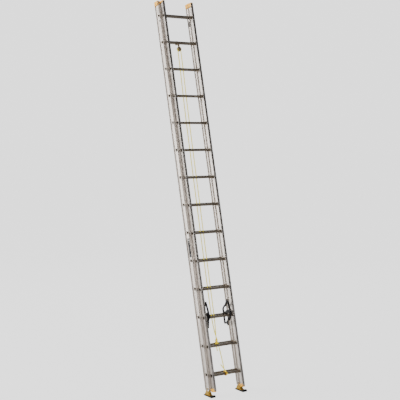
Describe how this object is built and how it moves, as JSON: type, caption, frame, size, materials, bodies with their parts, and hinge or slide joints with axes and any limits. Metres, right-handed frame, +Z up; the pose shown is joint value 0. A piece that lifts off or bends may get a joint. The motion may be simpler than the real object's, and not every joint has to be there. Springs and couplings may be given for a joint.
{
  "type": "extension ladder",
  "caption": "Two-section aluminium extension ladder with D-shaped rungs, rung locks, a halyard over a pulley, end caps and swivel shoes with rubber pads.",
  "frame": {"origin": "on the floor, midway between the axes of the two swivel shoes", "axes": "+Z up; +X along the rungs, to the right of someone facing the ladder to climb it; +Y towards the wall it leans on, so the rails rise towards +Y, 14.5 degrees from upright"},
  "size_m": [0.471, 1.2151, 4.2257],
  "materials": {
    "rail_aluminium": "mill finish, lightly oxidised",
    "bush_aluminium": "plain",
    "cap_plastic": "moulded, satin",
    "shoe_bracket": "yellow zinc",
    "pad_rubber": "ribbed",
    "lock_metal": "black, satin",
    "plated_steel": "zinc plated",
    "sheave_plastic": "moulded",
    "guide_plastic": "moulded",
    "rope": "twisted polypropylene"
  },
  "bodies": {
    "base": {"base_rung_01": "rail_aluminium", "base_rung_02": "rail_aluminium", "base_rung_03": "rail_aluminium", "base_rung_04": "rail_aluminium", "base_rung_05": "rail_aluminium", "base_rung_06": "rail_aluminium", "base_rung_07": "rail_aluminium", "base_rung_08": "rail_aluminium", "base_rung_09": "rail_aluminium", "base_rung_10": "rail_aluminium", "base_rung_11": "rail_aluminium", "base_rung_12": "rail_aluminium", "base_rung_13": "rail_aluminium", "base_rung_14": "rail_aluminium", "halyard_fly_line": "rope", "halyard_haul_line": "rope", "halyard_knot": "rope", "left_base_rail": "rail_aluminium", "left_base_top_cap": "cap_plastic", "left_shoe_bolt": "plated_steel", "left_slide_guide": "guide_plastic", "pulley_axle": "plated_steel", "pulley_block": "plated_steel", "pulley_hanger": "plated_steel", "right_base_rail": "rail_aluminium", "right_base_top_cap": "cap_plastic", "right_shoe_bolt": "plated_steel", "right_slide_guide": "guide_plastic"},
    "fly": {"fly_rung_01": "rail_aluminium", "fly_rung_02": "rail_aluminium", "fly_rung_03": "rail_aluminium", "fly_rung_04": "rail_aluminium", "fly_rung_05": "rail_aluminium", "fly_rung_06": "rail_aluminium", "fly_rung_07": "rail_aluminium", "fly_rung_08": "rail_aluminium", "fly_rung_09": "rail_aluminium", "fly_rung_10": "rail_aluminium", "fly_rung_11": "rail_aluminium", "fly_rung_12": "rail_aluminium", "fly_rung_13": "rail_aluminium", "fly_rung_14": "rail_aluminium", "halyard_hitch": "rope", "left_fly_bottom_cap": "cap_plastic", "left_fly_rail": "rail_aluminium", "left_fly_top_cap": "cap_plastic", "left_lock_bush": "bush_aluminium", "right_fly_bottom_cap": "cap_plastic", "right_fly_rail": "rail_aluminium", "right_fly_top_cap": "cap_plastic", "right_lock_bush": "bush_aluminium"},
    "left_shoe": {"left_shoe_bracket": "shoe_bracket", "left_shoe_pad": "pad_rubber"},
    "left_lock": {"left_lock_body": "lock_metal"},
    "left_tongue": {"left_lock_tongue": "lock_metal"},
    "right_shoe": {"right_shoe_bracket": "shoe_bracket", "right_shoe_pad": "pad_rubber"},
    "right_lock": {"right_lock_body": "lock_metal"},
    "right_tongue": {"right_lock_tongue": "lock_metal"},
    "sheave": {"pulley_sheave": "sheave_plastic"}
  },
  "joints": [
    {"name": "fly_slide", "type": "slide", "parent": "base", "child": "fly", "axis": [0, 0.2504, 0.9681], "range_m": [0, 3.38], "deforming": ["halyard_fly_line"]},
    {"name": "left_shoe_swivel", "type": "hinge", "parent": "base", "child": "left_shoe", "pos_m": [-0.207, -0.0035, 0.07445], "axis": [1, 0, 0], "range_deg": [-14.5, 75.5]},
    {"name": "left_lock_pivot", "type": "hinge", "parent": "fly", "child": "left_lock", "pos_m": [-0.142, 0.11828, 0.80895], "axis": [1, 0, 0], "range_deg": [0, 20], "stiffness_Nm_per_rad": 0.5, "springref_deg": -17.19},
    {"name": "left_tongue_pivot", "type": "hinge", "parent": "left_lock", "child": "left_tongue", "pos_m": [-0.142, 0.11738, 0.75754], "axis": [1, 0, 0], "range_deg": [-50, 0], "stiffness_Nm_per_rad": 0.25, "springref_deg": 34.38},
    {"name": "right_shoe_swivel", "type": "hinge", "parent": "base", "child": "right_shoe", "pos_m": [0.207, -0.0035, 0.07445], "axis": [1, 0, 0], "range_deg": [-14.5, 75.5]},
    {"name": "right_lock_pivot", "type": "hinge", "parent": "fly", "child": "right_lock", "pos_m": [0.142, 0.11828, 0.80895], "axis": [1, 0, 0], "range_deg": [0, 20], "stiffness_Nm_per_rad": 0.5, "springref_deg": -17.19},
    {"name": "right_tongue_pivot", "type": "hinge", "parent": "right_lock", "child": "right_tongue", "pos_m": [0.142, 0.11738, 0.75754], "axis": [1, 0, 0], "range_deg": [-50, 0], "stiffness_Nm_per_rad": 0.25, "springref_deg": 34.38},
    {"name": "sheave_spin", "type": "hinge", "parent": "base", "child": "sheave", "pos_m": [-0.02, 0.89736, 3.68964], "axis": [0, 0.9681, -0.2504], "continuous": true}
  ],
  "couplings": [
    {"joint": "sheave_spin", "follows": "fly_slide", "rad_per_m": 54.054}
  ]
}
